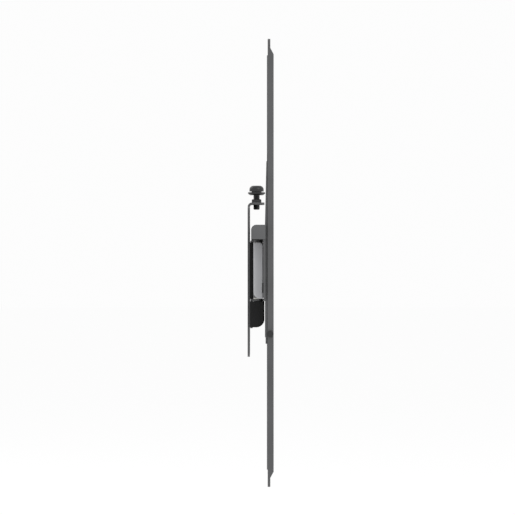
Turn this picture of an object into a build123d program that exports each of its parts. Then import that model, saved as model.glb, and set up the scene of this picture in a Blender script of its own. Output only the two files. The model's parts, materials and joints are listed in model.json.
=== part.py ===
"""Slim full motion TV wall mount, folded flat.

Millimetres, +Z up. The wall is the plane Y = 0 and the mount stands out from it along -Y, so
"out" distances below are measured along -Y. The origin is the centre of the four wall fixing
slots, on the back face of the wall plate. The arms fold side by side behind a crossbar, which
carries two upright rails for the screen.
"""

from build123d import *
import os

os.makedirs("parts", exist_ok=True)

# Wall plate
plate_width = 184
plate_thickness = 2.2
plate_low = -76.5
plate_high = 71
fixing_x = 70
fixing_z = 58
fixing_slot = (26, 8.5)
tab_width = 44
tab_top = 76
tab_out = 16.7

# Pivots: three upright pins at one distance from the wall
pin_out = 10.4
wall_pin_x = 100
elbow_x = -190
head_x = 0
pin_radius = 3.0
bore_radius = 3.05
barrel_radius = 4.6
pin_head_radius = 4.1
recess_radius = 4.2
recess_depth = 1.2
pin_end = -27

# Lugs on the wall plate
lug_thickness = 2.4
lug_radius = 6
lug_tab = (74, 90)
lug_body = (72, 91)

# Rear arm
sheet = 2.2
arm_back = 2.8
arm_front = 15.0
flange = 2.0
arm_top = 38
middle_flange_low = -20.7
skirt_low = -46
web_ends = (-178, 70)
skirt_ends = (-182, 88)
cover_front = 16.4
cover_wall = 1.3
cover_radius = 8
boss_x = (-120, 40)
boss_z = -26

# Front arm, between the rear arm's flanges
front_low = -17.6
front_high = 35.0
front_depth = 8.4
front_wall = 1.8
head_barrel_low = -9

# Crossbar
bar_half = 217
bar_back = 3.6
bar_front = 17.4
bar_low = 38.6
bar_high = 52.6
bar_sheet = 2.0
end_plate_inner = 176
end_plate_low = -20.5
bolt_x = 207
bolt_heights = (45.6, -8)
bolt_ends = (9.2, 14.0)
nut_heights = (4.55, 1.3)

# Rails and the hangers that carry them
rail_x = 200
rail_width = 30
rail_back = 19.5
rail_web = 2.5
rail_depth = 5.7
rail_sheet = 2.2
rail_low = -199
rail_high = 231
rail_tongue = 9
vesa_centre = 16
hanger_back = 17.5
hanger_front = 19.4
hanger_width = 25.4
hanger_low = -61.5
hanger_knee = 57
hanger_high = 121
tilt_out = 21.8
tilt_z = -52
tilt_pin_radius = 2.0
tilt_bore_radius = 2.05
window = (-64, -41)
ear_thickness = 2.5
ear_outer = 12.4

# Upright screw in the wall plate's tab
screw_out = 8.8
screw_radius = 3.0
screw_low = 69
washer_low = 83.5
head_low = 86.5
dome_low = 87.2
head_high = 93


def finish(built, label):
    """Label a finished piece and write its STEP file."""
    built.part.label = label
    export_step(built.part, f"parts/{label}.step")


def long_edge(built, out, z):
    """The straight edge along X that runs nearest to the given distance out and height."""
    return built.edges().filter_by(Axis.X).sort_by_distance((0, -out, z))[0]


def ring(x, low, high, outer, inner, out=pin_out):
    """A washer or tube round an upright axis, added to the part being built."""
    with BuildSketch(Plane.XY.offset(low)) as section:
        with Locations((x, -out)):
            Circle(outer)
            Circle(inner, mode=Mode.SUBTRACT)
    extrude(section.sketch, amount=high - low)


def upright_pin(x, head_top, low):
    """A pin with a low round head, added to the part being built."""
    with BuildSketch(Plane.XY.offset(low)) as shank:
        with Locations((x, -pin_out)):
            Circle(pin_radius)
    extrude(shank.sketch, amount=head_top - low)
    with BuildSketch(Plane.XY.offset(head_top - recess_depth + 0.05)) as head:
        with Locations((x, -pin_out)):
            Circle(pin_head_radius)
    extrude(head.sketch, amount=recess_depth - 0.05)


def upright_nut(x, low, height, flat_radius=4.5, out=pin_out, inner=bore_radius):
    """A hexagon nut round an upright axis, with two flats facing the wall and the room."""
    with BuildSketch(Plane.XY.offset(low)) as section:
        with Locations((x, -out)):
            RegularPolygon(flat_radius, 6, major_radius=False)
            Circle(inner, mode=Mode.SUBTRACT)
    extrude(section.sketch, amount=height)


# ---------------------------------------------------------------- wall plate and its hinge
lug_levels = (front_low, front_high - lug_thickness)

with BuildPart() as wall_plate:
    with BuildSketch(Plane.XZ):
        with Locations((0, (plate_low + plate_high) / 2)):
            RectangleRounded(plate_width, plate_high - plate_low, 7)
        with GridLocations(2 * fixing_x, 2 * fixing_z, 2, 2):
            SlotOverall(*fixing_slot, mode=Mode.SUBTRACT)
    extrude(amount=plate_thickness)
    # The tab is bent out of the top edge.
    with BuildSketch(Plane.YZ.offset(-tab_width / 2)):
        with BuildLine():
            Polyline(
                (0, plate_high - 12),
                (0, tab_top),
                (-tab_out, tab_top),
                (-tab_out, tab_top - plate_thickness),
                (-plate_thickness, tab_top - plate_thickness),
                (-plate_thickness, plate_high - 12),
                close=True,
            )
        make_face()
    extrude(amount=tab_width)
    fillet(long_edge(wall_plate, 0, tab_top), 4.2)
    fillet(long_edge(wall_plate, plate_thickness, tab_top - plate_thickness), 2)
    tab_corners = wall_plate.edges().filter_by(Axis.Z).group_by(Axis.Y)[0]
    fillet(tab_corners, 5)
    # Hole for the upright screw, and the two slots that the lugs stand in.
    with BuildSketch(Plane.XY.offset(tab_top)):
        with Locations((0, -screw_out)):
            Circle(screw_radius + 0.3)
    extrude(amount=-plate_thickness - 1, mode=Mode.SUBTRACT)
    for level in lug_levels:
        with BuildSketch(Plane.XZ):
            with Locations((sum(lug_tab) / 2, level + lug_thickness / 2)):
                Rectangle(lug_tab[1] - lug_tab[0], lug_thickness)
        extrude(amount=plate_thickness, mode=Mode.SUBTRACT)
    # Two pressed-out cable windows lighten the plate.
    with BuildSketch(Plane.XZ):
        with Locations((-46, -8), (40, -8)):
            RectangleRounded(34, 62, 8)
    extrude(amount=plate_thickness, mode=Mode.SUBTRACT)
finish(wall_plate, "wall_plate")

with BuildPart() as hinge_lugs:
    for level in lug_levels:
        with BuildSketch(Plane.XY.offset(level)):
            with Locations((sum(lug_body) / 2, -plate_thickness - 1)):
                Rectangle(lug_body[1] - lug_body[0], 2)
            with Locations((wall_pin_x, -pin_out)):
                Circle(lug_radius)
            make_hull()
            with Locations((sum(lug_tab) / 2, -plate_thickness / 2)):
                Rectangle(lug_tab[1] - lug_tab[0], plate_thickness)
            with Locations((wall_pin_x, -pin_out)):
                Circle(bore_radius, mode=Mode.SUBTRACT)
        extrude(amount=lug_thickness)
finish(hinge_lugs, "hinge_lugs")

with BuildPart() as wall_pin:
    upright_pin(wall_pin_x, arm_top, pin_end)
finish(wall_pin, "wall_pin")

with BuildPart() as wall_nut:
    upright_nut(wall_pin_x, middle_flange_low - 5.1, 5)
finish(wall_nut, "wall_nut")


def washer_pair(x, low_top, high_bottom):
    """Two thrust washers, under and over a knuckle."""
    ring(x, low_top - 1.0, low_top, barrel_radius - 0.1, bore_radius)
    ring(x, high_bottom, high_bottom + 0.9, barrel_radius - 0.1, bore_radius)


with BuildPart() as wall_washers:
    washer_pair(wall_pin_x, front_low - 0.05, front_high + 0.05)
finish(wall_washers, "wall_washers")

# ---------------------------------------------------------------- upright screw
with BuildPart() as level_screw:
    with BuildSketch(Plane.XY.offset(screw_low)):
        with Locations((0, -screw_out)):
            Circle(screw_radius)
    extrude(amount=head_low - screw_low)
    with BuildSketch(Plane.XY.offset(head_low)):
        with Locations((0, -screw_out)):
            Circle(5)
    extrude(amount=dome_low - head_low)
    with BuildSketch(Plane.XY.offset(dome_low)):
        with Locations((0, -screw_out)):
            Circle(7.2)
    extrude(amount=head_high - dome_low)
    fillet(level_screw.edges().group_by(Axis.Z)[-1], 4)
    chamfer(level_screw.edges().group_by(Axis.Z)[0], 0.7)
    # Cross recess
    with BuildSketch(Plane.XY.offset(head_high)):
        with Locations((0, -screw_out)):
            Rectangle(5.6, 1.2)
            Rectangle(1.2, 5.6)
    extrude(amount=-2.2, mode=Mode.SUBTRACT)
finish(level_screw, "level_screw")

with BuildPart() as level_washer:
    # A dished washer: its rim turns up.
    with BuildSketch(Plane.XZ.offset(screw_out)):
        with BuildLine():
            Polyline(
                (screw_radius + 0.05, washer_low),
                (6.6, washer_low),
                (8.6, washer_low + 1.4),
                (8.6, washer_low + 2.9),
                (6.4, washer_low + 1.6),
                (6.3, head_low - 0.02),
                (screw_radius + 0.05, head_low - 0.02),
                close=True,
            )
        make_face()
    revolve(axis=Axis((0, -screw_out, 0), (0, 0, 1)))
finish(level_washer, "level_washer")

with BuildPart() as level_nut:
    upright_nut(0, tab_top + 0.02, 3.4, flat_radius=4.8, out=screw_out)
    chamfer(level_nut.edges().group_by(Axis.Z)[-1].filter_by(GeomType.LINE), 0.6)
finish(level_nut, "level_nut")


# ---------------------------------------------------------------- rear arm
def arm_flange(low):
    """One flange of the rear arm, from the wall pin to the elbow."""
    with BuildSketch(Plane.XY.offset(low)) as outline:
        with Locations(((wall_pin_x + elbow_x) / 2, -(arm_back + arm_front) / 2)):
            Rectangle(wall_pin_x - elbow_x, arm_front - arm_back)
        with Locations((wall_pin_x, -pin_out), (elbow_x, -pin_out)):
            Circle(barrel_radius)
            Circle(bore_radius, mode=Mode.SUBTRACT)
    extrude(outline.sketch, amount=flange)


with BuildPart() as rear_arm:
    with BuildSketch(Plane.XZ.offset(arm_back)):
        with Locations((sum(web_ends) / 2, (middle_flange_low + arm_top) / 2)):
            Rectangle(web_ends[1] - web_ends[0], arm_top - middle_flange_low)
        with Locations((sum(skirt_ends) / 2, (skirt_low + middle_flange_low) / 2)):
            Rectangle(skirt_ends[1] - skirt_ends[0], middle_flange_low - skirt_low + 2)
        with Locations(*[(x, boss_z) for x in boss_x]):
            Circle(1.4, mode=Mode.SUBTRACT)
    extrude(amount=sheet)
    with BuildSketch(Plane.XZ.offset(arm_back)):
        with Locations(*[(x, boss_z) for x in boss_x]):
            Circle(2.7)
    extrude(amount=1.2, mode=Mode.SUBTRACT)
    arm_flange(arm_top - flange)
    arm_flange(middle_flange_low)
    # Notch that the swivel hub stands in while the arms are folded.
    with BuildSketch(Plane.XY.offset(arm_top - flange)):
        with Locations((head_x, -(arm_back + sheet + arm_front) / 2)):
            Rectangle(18, arm_front - arm_back - sheet)
    extrude(amount=flange, mode=Mode.SUBTRACT)
    # The pin heads lie flush in the top flange.
    with BuildSketch(Plane.XY.offset(arm_top)):
        with Locations((wall_pin_x, -pin_out), (elbow_x, -pin_out)):
            Circle(recess_radius)
    extrude(amount=-recess_depth, mode=Mode.SUBTRACT)
    fillet(long_edge(rear_arm, arm_back, arm_top), 1.6)
finish(rear_arm, "rear_arm")


def cover_outline(x, shrink, back):
    """The cable cover's outline at x, with a round lower front corner, shrunk all round."""
    front = cover_front - shrink
    low = skirt_low + shrink
    high = middle_flange_low - 0.2
    with BuildSketch(Plane.YZ.offset(x)) as outline:
        with Locations((-(front + back) / 2, (low + high) / 2)):
            Rectangle(front - back, high - low)
        # Corners are measured in the sketch's own plane.
        corner = outline.vertices().sort_by_distance((-front, low, 0))[0]
        fillet(corner, cover_radius - shrink)
    return outline.sketch


with BuildPart() as rear_arm_cover:
    cover_back = arm_back + sheet + 0.1
    cover_length = skirt_ends[1] - skirt_ends[0]
    extrude(cover_outline(skirt_ends[0], 0, cover_back), amount=cover_length)
    extrude(cover_outline(skirt_ends[0], cover_wall, cover_back), amount=cover_length, mode=Mode.SUBTRACT)
    with BuildSketch(Plane.XZ.offset(cover_back)):
        with Locations(*[(x, boss_z) for x in boss_x]):
            Circle(3)
    extrude(amount=cover_front - cover_wall / 2 - cover_back)
    with BuildSketch(Plane.XZ.offset(cover_back)):
        with Locations(*[(x, boss_z) for x in boss_x]):
            Circle(1.3)
    extrude(amount=7.5, mode=Mode.SUBTRACT)
finish(rear_arm_cover, "rear_arm_cover")

with BuildPart() as cover_screws:
    with BuildSketch(Plane.XZ.offset(arm_back + 0.05)):
        with Locations(*[(x, boss_z) for x in boss_x]):
            Circle(2.6)
    extrude(amount=1.1)
    with BuildSketch(Plane.XZ.offset(arm_back + 1)):
        with Locations(*[(x, boss_z) for x in boss_x]):
            Circle(1.25)
    extrude(amount=8)
finish(cover_screws, "cover_screws")

with BuildPart() as rear_arm_end_cap:
    extrude(cover_outline(skirt_ends[0] - 16, 0, plate_thickness), amount=15.9)
    fillet(rear_arm_end_cap.edges().group_by(Axis.X)[0], 1.2)
    # Pocket for the elbow nut
    with BuildSketch(Plane.XY.offset(middle_flange_low)):
        with Locations((elbow_x, -pin_out)):
            Circle(5.5)
    extrude(amount=pin_end - middle_flange_low - 0.5, mode=Mode.SUBTRACT)
finish(rear_arm_end_cap, "rear_arm_end_cap")

with BuildPart() as elbow_pin:
    upright_pin(elbow_x, arm_top, pin_end)
finish(elbow_pin, "elbow_pin")

with BuildPart() as elbow_nut:
    upright_nut(elbow_x, middle_flange_low - 5.1, 5)
finish(elbow_nut, "elbow_nut")

# ---------------------------------------------------------------- front arm
with BuildPart() as front_arm:
    with BuildSketch(Plane.YZ.offset(elbow_x)):
        with Locations((-pin_out, (front_low + front_high) / 2)):
            RectangleRounded(front_depth, front_high - front_low, 2.4)
            inner_depth = front_depth - 2 * front_wall
            RectangleRounded(inner_depth, front_high - front_low - 2 * front_wall, 1, mode=Mode.SUBTRACT)
    extrude(amount=head_x - elbow_x)
    for x in (elbow_x, head_x):
        with BuildSketch(Plane.XY.offset(front_low)):
            with Locations((x, -pin_out)):
                Circle(barrel_radius)
        extrude(amount=front_high - front_low)
        with BuildSketch(Plane.XY.offset(front_low)):
            with Locations((x, -pin_out)):
                Circle(bore_radius)
        extrude(amount=front_high - front_low, mode=Mode.SUBTRACT)
    # Room for the nut under the head's barrel
    with BuildSketch(Plane.XZ.offset(arm_back)):
        with Locations((head_x - 0.5, (front_low + head_barrel_low) / 2)):
            Rectangle(15, head_barrel_low - front_low)
    extrude(amount=arm_front, mode=Mode.SUBTRACT)
finish(front_arm, "front_arm")

with BuildPart() as front_arm_end_cap:
    cap_half = 4.45
    cap_low = front_low - 0.9
    cap_high = front_high + 0.8
    with BuildSketch(Plane.YZ.offset(elbow_x - 9)):
        with Locations((-pin_out, (cap_low + cap_high) / 2)):
            Rectangle(2 * cap_half, cap_high - cap_low)
    extrude(amount=6.5)
    fillet(long_edge(front_arm_end_cap, pin_out - cap_half, cap_low), 6.5)
    fillet(long_edge(front_arm_end_cap, pin_out + cap_half, cap_high), 3.5)
    fillet(front_arm_end_cap.edges().group_by(Axis.X)[0], 0.8)
    with BuildSketch(Plane.XY.offset(cap_low)):
        with Locations((elbow_x, -pin_out)):
            Circle(barrel_radius + 0.02)
    extrude(amount=cap_high - cap_low, mode=Mode.SUBTRACT)
finish(front_arm_end_cap, "front_arm_end_cap")

with BuildPart() as elbow_washers:
    washer_pair(elbow_x, front_low - 0.05, front_high + 0.05)
finish(elbow_washers, "elbow_washers")

with BuildPart() as head_washers:
    washer_pair(head_x, head_barrel_low - 0.05, front_high + 0.05)
finish(head_washers, "head_washers")

# ---------------------------------------------------------------- crossbar and swivel
hub_low = front_high + 1

with BuildPart() as crossbar:
    with BuildSketch(Plane.YZ.offset(-bar_half)):
        with BuildLine():
            Polyline(
                (-bar_front, bar_low),
                (-bar_front, bar_high),
                (-bar_back, bar_high),
                (-bar_back, bar_low),
                (-bar_back - bar_sheet, bar_low),
                (-bar_back - bar_sheet, bar_high - bar_sheet),
                (-bar_front + bar_sheet, bar_high - bar_sheet),
                (-bar_front + bar_sheet, bar_low),
                close=True,
            )
        make_face()
    extrude(amount=2 * bar_half)
    fillet(long_edge(crossbar, bar_back, bar_high), 5)
    fillet(long_edge(crossbar, bar_back + bar_sheet, bar_high - bar_sheet), 0.8)
    fillet(long_edge(crossbar, bar_front, bar_high), 2)
    # End plates that reach down behind the rails
    with BuildSketch(Plane.XZ.offset(bar_front - bar_sheet)):
        end_width = bar_half - end_plate_inner
        end_height = bar_low - end_plate_low
        for side in (-1, 1):
            with Locations((side * (bar_half - end_width / 2), end_plate_low + end_height / 2 + 2)):
                Rectangle(end_width, end_height + 4)
    extrude(amount=bar_sheet)
    fillet(crossbar.edges().filter_by(Axis.Y).group_by(Axis.Z)[0], 5)
    # Slots that let the hangers be set for different screens
    with BuildSketch(Plane.XZ.offset(bar_front - bar_sheet)):
        with Locations((-141, bolt_heights[0]), (141, bolt_heights[0])):
            SlotOverall(144, 6.4)
        with Locations((-197, bolt_heights[1]), (197, bolt_heights[1])):
            SlotOverall(32, 6.4)
    extrude(amount=bar_sheet, mode=Mode.SUBTRACT)
    with BuildSketch(Plane.XY.offset(bar_high)):
        with Locations((head_x, -pin_out)):
            Circle(bore_radius)
    extrude(amount=-bar_sheet, mode=Mode.SUBTRACT)
    with BuildSketch(Plane.XY.offset(bar_high)):
        with Locations((head_x, -pin_out)):
            Circle(recess_radius)
    extrude(amount=-recess_depth, mode=Mode.SUBTRACT)
finish(crossbar, "crossbar")

with BuildPart() as crossbar_end_caps:
    for side in (-1, 1):
        face = Plane.YZ.offset(side * bar_half)
        with BuildSketch(face):
            with BuildLine():
                Polyline(
                    (-bar_front, bar_low),
                    (-bar_front, bar_high),
                    (-bar_back - 5, bar_high),
                )
                RadiusArc((-bar_back - 5, bar_high), (-bar_back, bar_high - 5), 5)
                Polyline((-bar_back, bar_high - 5), (-bar_back, bar_low), (-bar_front, bar_low))
            make_face()
        extrude(amount=side * 2)
        with BuildSketch(face):
            with Locations((-(bar_back + bar_front) / 2, bar_low + 6)):
                Rectangle(bar_front - bar_back - 2 * bar_sheet - 0.1, 8)
        extrude(amount=-side * 3)
finish(crossbar_end_caps, "crossbar_end_caps")

with BuildPart() as swivel_hub:
    ring(head_x, hub_low, bar_high - bar_sheet - 0.1, 4.2, bore_radius)
finish(swivel_hub, "swivel_hub")

with BuildPart() as head_pin:
    upright_pin(head_x, bar_high, head_barrel_low - 7.5)
finish(head_pin, "head_pin")

with BuildPart() as head_nut:
    upright_nut(head_x, head_barrel_low - 6.1, 5)
finish(head_nut, "head_nut")

# ---------------------------------------------------------------- hangers, bolts and rails
with BuildPart() as hanger_bolts:
    for side in (-1, 1):
        for z, end in zip(bolt_heights, bolt_ends):
            with BuildSketch(Plane.XZ.offset(hanger_front + 0.02)):
                with Locations((side * bolt_x, z)):
                    Circle(4.8)
            extrude(amount=2)
            with BuildSketch(Plane.XZ.offset(end)):
                with Locations((side * bolt_x, z)):
                    Circle(2.9)
            extrude(amount=hanger_front + 1 - end)
finish(hanger_bolts, "hanger_bolts")

with BuildPart() as hanger_nuts:
    for side in (-1, 1):
        for z, height in zip(bolt_heights, nut_heights):
            with BuildSketch(Plane.XZ.offset(bar_front - bar_sheet - 0.05 - height)):
                with Locations((side * bolt_x, z)):
                    RegularPolygon(4.2, 6, major_radius=False, rotation=30)
                    Circle(2.95, mode=Mode.SUBTRACT)
            extrude(amount=height)
finish(hanger_nuts, "hanger_nuts")

for side, name in ((-1, "left"), (1, "right")):
    middle = side * rail_x

    with BuildPart() as hanger:
        with BuildSketch(Plane.YZ.offset(middle - hanger_width / 2)):
            with BuildLine():
                Polyline(
                    (-hanger_front, hanger_low),
                    (-hanger_front, hanger_high),
                    (-hanger_front + 0.5, hanger_high),
                    (-hanger_back, hanger_knee),
                    (-hanger_back, hanger_low),
                    close=True,
                )
            make_face()
        extrude(amount=hanger_width)
        # Two ears reach into the rail and hold the tilt pin.
        for ear in (-ear_outer, ear_outer - ear_thickness):
            with BuildSketch(Plane.YZ.offset(middle + ear)):
                with Locations((-tilt_out + 1.4, tilt_z)):
                    Rectangle(2 * 2.4, 2 * 5)
                with Locations((-tilt_out, tilt_z)):
                    Circle(3.2)
                    Circle(tilt_bore_radius, mode=Mode.SUBTRACT)
            extrude(amount=ear_thickness)
        with BuildSketch(Plane.XZ.offset(hanger_back - 1)):
            with Locations(*[(side * bolt_x, z) for z in bolt_heights]):
                Circle(3.2)
            with Locations((middle, hanger_high - 4)):
                Circle(7)
        extrude(amount=4, mode=Mode.SUBTRACT)
        with BuildSketch(Plane.YZ.offset(middle - hanger_width / 2)):
            with Locations((-tilt_out, tilt_z)):
                Circle(tilt_bore_radius)
        extrude(amount=hanger_width, mode=Mode.SUBTRACT)
    finish(hanger, f"hanger_{name}")

    with BuildPart() as rail:
        with BuildSketch(Plane.XZ.offset(rail_back)):
            with Locations((middle, (rail_low + rail_high) / 2)):
                RectangleRounded(rail_width, rail_high - rail_low, 7)
        extrude(amount=rail_web)
        # Side flanges point at the screen and are cut away at a slant at both ends.
        flange_low = rail_low + rail_tongue
        flange_high = rail_high - rail_tongue
        for edge in (-rail_width / 2, rail_width / 2 - rail_sheet):
            with BuildSketch(Plane.YZ.offset(middle + edge)):
                with BuildLine():
                    Polyline(
                        (-rail_back, flange_low),
                        (-rail_back, flange_high),
                        (-rail_back - rail_web, flange_high),
                        (-rail_back - rail_depth, flange_high - 6),
                        (-rail_back - rail_depth, flange_low + 6),
                        (-rail_back - rail_web, flange_low),
                        close=True,
                    )
                make_face()
            extrude(amount=rail_sheet)
        # Screen holes at 200, 300 and 400 spacing, with slots between them
        with BuildSketch(Plane.XZ.offset(rail_back)):
            for spacing in (200, 300, 400):
                with Locations((middle, vesa_centre + spacing / 2), (middle, vesa_centre - spacing / 2)):
                    Circle(4.25)
            for reach in (125, 175):
                with Locations((middle, vesa_centre + reach), (middle, vesa_centre - reach)):
                    SlotOverall(30, 8.5, rotation=90)
            with Locations(*[(side * bolt_x, z) for z in bolt_heights]):
                Circle(5.5)
            with Locations((middle, sum(window) / 2)):
                Rectangle(rail_width - 2 * rail_sheet, window[1] - window[0])
        extrude(amount=rail_web, mode=Mode.SUBTRACT)
        with BuildSketch(Plane.YZ.offset(middle - rail_width / 2)):
            with Locations((-tilt_out, tilt_z)):
                Circle(tilt_bore_radius)
        extrude(amount=rail_width, mode=Mode.SUBTRACT)
    finish(rail, f"rail_{name}")

    # The tilt pin's head is on the outer side and its nut on the inner side.
    outer_face = side * (rail_width / 2 + 1.1)
    with BuildPart() as tilt_pin:
        with BuildSketch(Plane.YZ.offset(middle - side * 19.5)):
            with Locations((-tilt_out, tilt_z)):
                Circle(tilt_pin_radius)
        extrude(amount=side * 36)
        with BuildSketch(Plane.YZ.offset(middle + outer_face)):
            with Locations((-tilt_out, tilt_z)):
                Circle(3.3)
        extrude(amount=side * 1.6)
    finish(tilt_pin, f"tilt_pin_{name}")

    with BuildPart() as tilt_nut:
        with BuildSketch(Plane.YZ.offset(middle - outer_face)):
            with Locations((-tilt_out, tilt_z)):
                RegularPolygon(3.2, 6, major_radius=False, rotation=30)
                Circle(tilt_bore_radius, mode=Mode.SUBTRACT)
        extrude(amount=-side * 2.6)
    finish(tilt_nut, f"tilt_nut_{name}")

    with BuildPart() as tilt_washers:
        for start in (-outer_face, outer_face - side):
            with BuildSketch(Plane.YZ.offset(middle + start)):
                with Locations((-tilt_out, tilt_z)):
                    Circle(3.25)
                    Circle(tilt_bore_radius, mode=Mode.SUBTRACT)
            extrude(amount=side * 0.95)
    finish(tilt_washers, f"tilt_washers_{name}")
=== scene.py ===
"""Looks of the full motion TV wall mount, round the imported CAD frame. Metres, +Z up."""

import json
import math

import bmesh
import bpy
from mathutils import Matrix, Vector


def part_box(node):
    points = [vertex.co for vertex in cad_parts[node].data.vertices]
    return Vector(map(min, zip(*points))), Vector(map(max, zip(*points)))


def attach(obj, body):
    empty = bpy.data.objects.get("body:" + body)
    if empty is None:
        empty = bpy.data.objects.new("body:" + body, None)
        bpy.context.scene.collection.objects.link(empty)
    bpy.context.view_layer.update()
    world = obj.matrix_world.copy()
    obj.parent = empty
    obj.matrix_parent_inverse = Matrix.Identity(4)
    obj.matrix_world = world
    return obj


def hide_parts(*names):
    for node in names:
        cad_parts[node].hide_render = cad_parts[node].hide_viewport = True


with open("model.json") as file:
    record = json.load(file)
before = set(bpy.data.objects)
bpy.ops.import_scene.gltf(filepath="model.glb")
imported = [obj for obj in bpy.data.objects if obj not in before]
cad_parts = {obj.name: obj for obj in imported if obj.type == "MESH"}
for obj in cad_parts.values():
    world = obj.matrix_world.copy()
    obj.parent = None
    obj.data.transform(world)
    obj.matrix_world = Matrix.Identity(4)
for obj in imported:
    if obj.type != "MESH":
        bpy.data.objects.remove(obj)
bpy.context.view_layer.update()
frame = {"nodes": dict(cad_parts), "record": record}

MM = 0.001
CAMERA_DISTANCE = 5.13
# The camera's Y and Z
CAMERA_ASIDE = (-0.00972, 0.0212)
# Width of the picture at the mount's middle
VIEW_WIDTH = 0.515
FLOOR_Z = -0.32
ROUGHNESS_SPREAD = 0.08
# Edges that turn by more than this are rounded
SHARP = math.radians(40)
# Upright screw's thread, and how far the pivot pins' threads reach up from their ends, in mm
SCREW_THREAD = (69.3, 83.4)
SCREW_CREST = 3.25
PIN_THREAD = (0.1, 2.1)
PIN_CREST = 3.15
BODIES = frame["record"]["behaviour"]["bodies"]
BODY_OF = {node: body for body, nodes in BODIES.items() for node in nodes}
SLOT_OF = {part["node"]: part["material_slot"] for part in frame["record"]["subparts"]}


# ---------------------------------------------------------------- camera, light, floor
def add_camera():
    """Level camera on the left of the mount, looking along the wall."""
    data = bpy.data.cameras.new("camera")
    data.sensor_width = 36
    data.lens = data.sensor_width * CAMERA_DISTANCE / VIEW_WIDTH
    data.clip_end = 100
    camera = bpy.data.objects.new("camera", data)
    camera.location = (-CAMERA_DISTANCE, *CAMERA_ASIDE)
    camera.rotation_euler = (math.pi / 2, 0, -math.pi / 2)
    bpy.context.collection.objects.link(camera)
    bpy.context.scene.camera = camera


def add_area_light(name, place, size, watts):
    """A soft square light aimed at the middle of the mount."""
    data = bpy.data.lights.new(name, "AREA")
    data.size = size
    data.energy = watts
    light = bpy.data.objects.new(name, data)
    light.location = place
    aim = -light.location.normalized()
    light.rotation_euler = aim.to_track_quat("-Z", "Y").to_euler()
    bpy.context.collection.objects.link(light)


def add_studio():
    """Pale floor, white surroundings and two soft lights."""
    world = bpy.data.worlds.new("studio")
    bpy.context.scene.world = world
    world.use_nodes = True
    surroundings = world.node_tree.nodes["Background"]
    surroundings.inputs["Color"].default_value = (0.98, 0.98, 0.98, 1)
    surroundings.inputs["Strength"].default_value = 1.0
    bpy.context.scene.view_settings.view_transform = "Standard"
    add_area_light("key", (-3.0, -2.2, 2.6), 2.5, 45)
    add_area_light("rim", (1.5, 2.5, 2.5), 2.0, 20)

    bpy.ops.mesh.primitive_circle_add(
        vertices=64, radius=30, fill_type="NGON", location=(0, 0, FLOOR_Z)
    )
    floor = bpy.context.object
    floor.name = "floor"
    pale = bpy.data.materials.new("pale_floor")
    pale.use_nodes = True
    shader = pale.node_tree.nodes["Principled BSDF"]
    shader.inputs["Base Color"].default_value = (0.3, 0.3, 0.3, 1)
    shader.inputs["Roughness"].default_value = 1.0
    shader.inputs["Specular IOR Level"].default_value = 0.0
    shader.inputs["Emission Color"].default_value = (1, 1, 1, 1)
    shader.inputs["Emission Strength"].default_value = 0.68
    floor.data.materials.append(pale)


# ---------------------------------------------------------------- materials
def start_material(name, roughness, metallic, specular):
    """An empty node material and its shader, with the uniform values set on the shader."""
    material = bpy.data.materials.new(name)
    material.use_nodes = True
    shader = material.node_tree.nodes["Principled BSDF"]
    shader.inputs["Roughness"].default_value = roughness
    shader.inputs["Metallic"].default_value = metallic
    shader.inputs["Specular IOR Level"].default_value = specular
    return material, shader


def noise(tree, scale, detail, coordinates):
    """A noise texture in object space, in features per metre."""
    node = tree.nodes.new("ShaderNodeTexNoise")
    node.inputs["Scale"].default_value = scale
    node.inputs["Detail"].default_value = detail
    tree.links.new(coordinates, node.inputs["Vector"])
    return node.outputs["Fac"]


def ramp(tree, value, stops):
    """A colour ramp over value, with stops of (position, colour)."""
    node = tree.nodes.new("ShaderNodeValToRGB")
    for index, (position, colour) in enumerate(stops):
        element = node.color_ramp.elements[index]
        element.position = position
        element.color = (*colour, 1)
    tree.links.new(value, node.inputs["Fac"])
    return node.outputs["Color"]


def grained(name, dark, light, roughness, grain, depth, metallic=0.0, specular=0.5):
    """A finish with broad colour drift, a fine grain in the surface and uneven gloss."""
    material, shader = start_material(name, roughness, metallic, specular)
    tree = material.node_tree
    place = tree.nodes.new("ShaderNodeTexCoord").outputs["Object"]
    drift = noise(tree, 22, 4, place)
    tree.links.new(ramp(tree, drift, [(0.3, dark), (0.7, light)]), shader.inputs["Base Color"])
    fine = noise(tree, grain, 2, place)
    gloss = tree.nodes.new("ShaderNodeMapRange")
    gloss.inputs["To Min"].default_value = roughness - ROUGHNESS_SPREAD
    gloss.inputs["To Max"].default_value = roughness + ROUGHNESS_SPREAD
    tree.links.new(fine, gloss.inputs["Value"])
    tree.links.new(gloss.outputs["Result"], shader.inputs["Roughness"])
    bump = tree.nodes.new("ShaderNodeBump")
    bump.inputs["Strength"].default_value = 0.35
    bump.inputs["Distance"].default_value = depth
    tree.links.new(fine, bump.inputs["Height"])
    tree.links.new(bump.outputs["Normal"], shader.inputs["Normal"])
    return material


def grey(value):
    """A neutral colour with a trace of blue."""
    return (value, value * 1.01, value * 1.04)


def make_materials():
    """One material for each slot of the record: name, colours, roughness, grain per metre, depth."""
    warm = ((0.5, 0.49, 0.45), (0.6, 0.59, 0.55))
    finishes = [
        ("black_paint", grey(0.062), grey(0.084), 0.42, 1400, 0.00006, {}),
        ("black_plastic", grey(0.005), grey(0.008), 0.6, 2200, 0.00004, {"specular": 0.2}),
        ("grey_plastic", grey(0.09), grey(0.12), 0.55, 2200, 0.00004, {"specular": 0.3}),
        ("light_grey_plastic", grey(0.43), grey(0.48), 0.55, 2200, 0.00004, {"specular": 0.3}),
        ("nylon", *warm, 0.4, 900, 0.00002, {}),
        ("black_zinc", grey(0.014), grey(0.03), 0.32, 1800, 0.00002, {"metallic": 0.35}),
    ]
    return {name: grained(name, *values, **more) for name, *values, more in finishes}


MATERIALS = make_materials()


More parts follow.
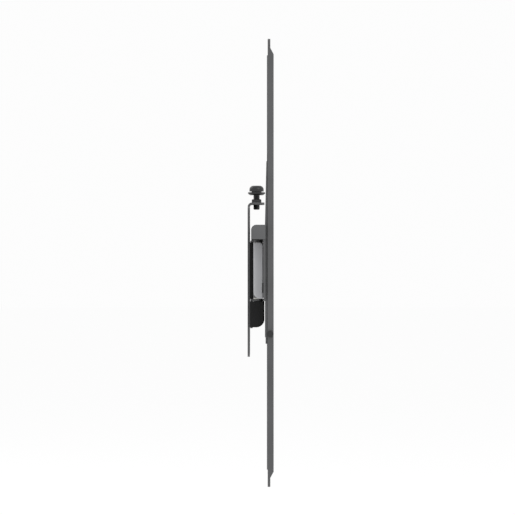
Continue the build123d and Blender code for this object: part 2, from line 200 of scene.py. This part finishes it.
# ---------------------------------------------------------------- pieces
def add_piece(name, mesh, body, slot, replaced=()):
    """Links a mesh as a piece on a body, with its finish."""
    piece = bpy.data.objects.new(name, mesh)
    bpy.context.collection.objects.link(piece)
    piece.data.materials.clear()
    piece.data.materials.append(MATERIALS[slot])
    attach(piece, body)
    if replaced:
        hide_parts(*replaced)
    return piece


def softened(node, width, segments=2):
    """A copy with rounded edges stands for a CAD node, as pressed or moulded edges are round."""
    shape = bmesh.new()
    shape.from_mesh(frame["nodes"][node].data)
    bmesh.ops.remove_doubles(shape, verts=shape.verts, dist=0.002 * MM)
    bmesh.ops.dissolve_limit(
        shape, angle_limit=math.radians(1), verts=shape.verts, edges=shape.edges, delimit={"NORMAL"}
    )
    mesh = bpy.data.meshes.new(node + "_soft")
    shape.to_mesh(mesh)
    shape.free()
    piece = add_piece(node + "_finished", mesh, BODY_OF[node], SLOT_OF[node], (node,))
    bevel = piece.modifiers.new("edges", "BEVEL")
    bevel.width = width
    bevel.segments = segments
    bevel.limit_method = "ANGLE"
    bevel.angle_limit = SHARP
    bevel.use_clamp_overlap = True
    mesh.shade_smooth()
    mesh.set_sharp_from_angle(angle=SHARP)
    normals = piece.modifiers.new("flat_faces", "WEIGHTED_NORMAL")
    normals.mode = "FACE_AREA"
    normals.weight = 100
    normals.keep_sharp = True


def threaded(centre, low, high, radius, pitch=1.0, depth=0.3, sides=36):
    """An upright threaded shank with a helical ridge, in mm."""
    steps_per_turn = 8
    shape = bmesh.new()
    count = int(round((high - low) / pitch * steps_per_turn))
    rings = []
    for level in range(count + 1):
        z = low + (high - low) * level / count
        ends = min(1.0, (z - low) / pitch, (high - z) / pitch)
        ring = []
        for step in range(sides):
            turn = step / sides
            phase = (z / pitch - turn) % 1.0
            ridge = abs(2 * phase - 1)
            reach = radius - depth * (1 - ridge * ends)
            angle = 2 * math.pi * turn
            x = centre[0] + reach * MM * math.cos(angle)
            y = centre[1] + reach * MM * math.sin(angle)
            ring.append(shape.verts.new((x, y, z * MM)))
        rings.append(ring)
    for lower, upper in zip(rings, rings[1:]):
        for step in range(sides):
            after = (step + 1) % sides
            shape.faces.new((lower[step], lower[after], upper[after], upper[step]))
    shape.faces.new(list(reversed(rings[0])))
    shape.faces.new(rings[-1])
    mesh = bpy.data.meshes.new("thread")
    shape.to_mesh(mesh)
    shape.free()
    return mesh


def middle(node):
    """The centre of a node's box, in metres."""
    low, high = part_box(node)
    return [(a + b) / 2 for a, b in zip(low, high)]


def finish_nodes():
    """Every CAD node gets its finish, and the visible ones get rounded edges."""
    edge_widths = {
        "black_paint": 0.35 * MM,
        "black_plastic": 0.4 * MM,
        "grey_plastic": 0.5 * MM,
        "light_grey_plastic": 0.3 * MM,
        "black_zinc": 0.25 * MM,
    }
    pressed_widths = {"rail_left": 0.4 * MM, "rail_right": 0.4 * MM, "wall_plate": 0.4 * MM}
    keep_plain = {"front_arm_end_cap", "rear_arm_end_cap", "level_screw", "level_washer"}
    for node, cad in frame["nodes"].items():
        slot = SLOT_OF[node]
        cad.data.materials.clear()
        cad.data.materials.append(MATERIALS[slot])
        if node in pressed_widths:
            softened(node, pressed_widths[node], segments=3)
        elif slot in edge_widths and node not in keep_plain:
            softened(node, edge_widths[slot])


def add_threads():
    """Helical threads on the upright screw's shank and the pivot pins' lower ends."""
    mesh = threaded(middle("level_screw"), *SCREW_THREAD, SCREW_CREST)
    add_piece("level_screw_thread", mesh, BODY_OF["level_screw"], "black_zinc")
    for node in ("wall_pin", "elbow_pin", "head_pin"):
        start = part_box(node)[0][2] / MM
        low, high = (start + reach for reach in PIN_THREAD)
        mesh = threaded(middle(node), low, high, PIN_CREST, pitch=0.8)
        add_piece(node + "_thread", mesh, BODY_OF[node], "black_zinc")


def rounded_outline(low, high, radius, steps):
    """A rectangle with round corners, as (out, z) points in mm."""
    corners = [(low[0], low[1]), (high[0], low[1]), (high[0], high[1]), (low[0], high[1])]
    inward = [(1, 1), (-1, 1), (-1, -1), (1, -1)]
    points = []
    for index, ((out, z), (along, up)) in enumerate(zip(corners, inward)):
        for step in range(steps + 1):
            angle = math.pi + (index + step / steps) * math.pi / 2
            reach = (along + math.cos(angle)) * radius
            rise = (up + math.sin(angle)) * radius
            points.append((out + reach, z + rise))
    return points


def slab(name, outline, start, stop, body, slot, edge):
    """A moulded slab from x = start to x = stop (mm) with that outline and soft edges."""
    shape = bmesh.new()
    ends = []
    for x in (start, stop):
        ends.append([shape.verts.new((x * MM, -out * MM, z * MM)) for out, z in outline])
    count = len(outline)
    for step in range(count):
        after = (step + 1) % count
        shape.faces.new((ends[0][step], ends[0][after], ends[1][after], ends[1][step]))
    shape.faces.new(list(reversed(ends[0])))
    shape.faces.new(ends[1])
    bmesh.ops.remove_doubles(shape, verts=shape.verts, dist=0.001 * MM)
    bmesh.ops.recalc_face_normals(shape, faces=shape.faces)
    mesh = bpy.data.meshes.new(name)
    shape.to_mesh(mesh)
    shape.free()
    bevel = add_piece(name, mesh, body, slot).modifiers.new("edges", "BEVEL")
    bevel.width = edge * MM
    bevel.segments = 3
    bevel.limit_method = "ANGLE"
    bevel.angle_limit = math.radians(50)


def add_gap_shade_slab():
    """A near-black plastic slab along the end edge of the rear arm's web: painted shade for the
    deep, dark gap between the wall plate and the front arm.
    """
    gap_shade_outline = rounded_outline((2.25, -18.6), (5.8, 35.9), radius=0.4, steps=2)
    # Painted shade: this near-black slab stands for the shade in the gap, not for a real trim piece
    slab("rear_arm_gap_shade_slab", gap_shade_outline, -179.4, -178.02, "rear_arm", "black_plastic", edge=0.3)


add_camera()
add_studio()
finish_nodes()
add_threads()
add_gap_shade_slab()
